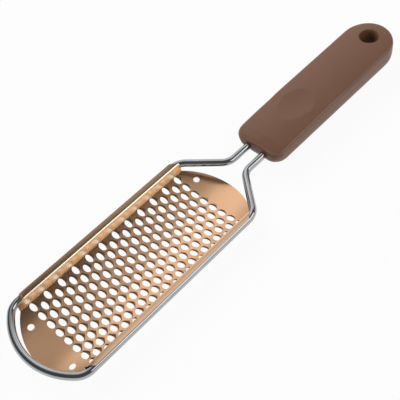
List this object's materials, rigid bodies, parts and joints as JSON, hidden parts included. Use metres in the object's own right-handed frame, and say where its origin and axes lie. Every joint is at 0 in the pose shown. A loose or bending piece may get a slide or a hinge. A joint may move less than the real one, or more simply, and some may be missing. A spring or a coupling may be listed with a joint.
{
  "type": "foot file",
  "caption": "Hand-held foot file: a curved rasp plate with staggered lens holes, hemmed over a bent wire loop that ends in a moulded handle with a hang hole.",
  "frame": {"origin": "middle of the overall length and width, level with the tooth tips and the underside of the handle", "axes": "+X along the file from the plate to the handle, +Y across it, +Z from the teeth to the open side"},
  "size_m": [0.2564, 0.0548, 0.0173],
  "materials": {
    "wire": "polished chrome",
    "plate": "polished, copper coloured",
    "grip": "fine matt, brown"
  },
  "bodies": {
    "root": {"wire_frame": "wire", "rasp_plate": "plate", "handle": "grip"}
  },
  "joints": []
}
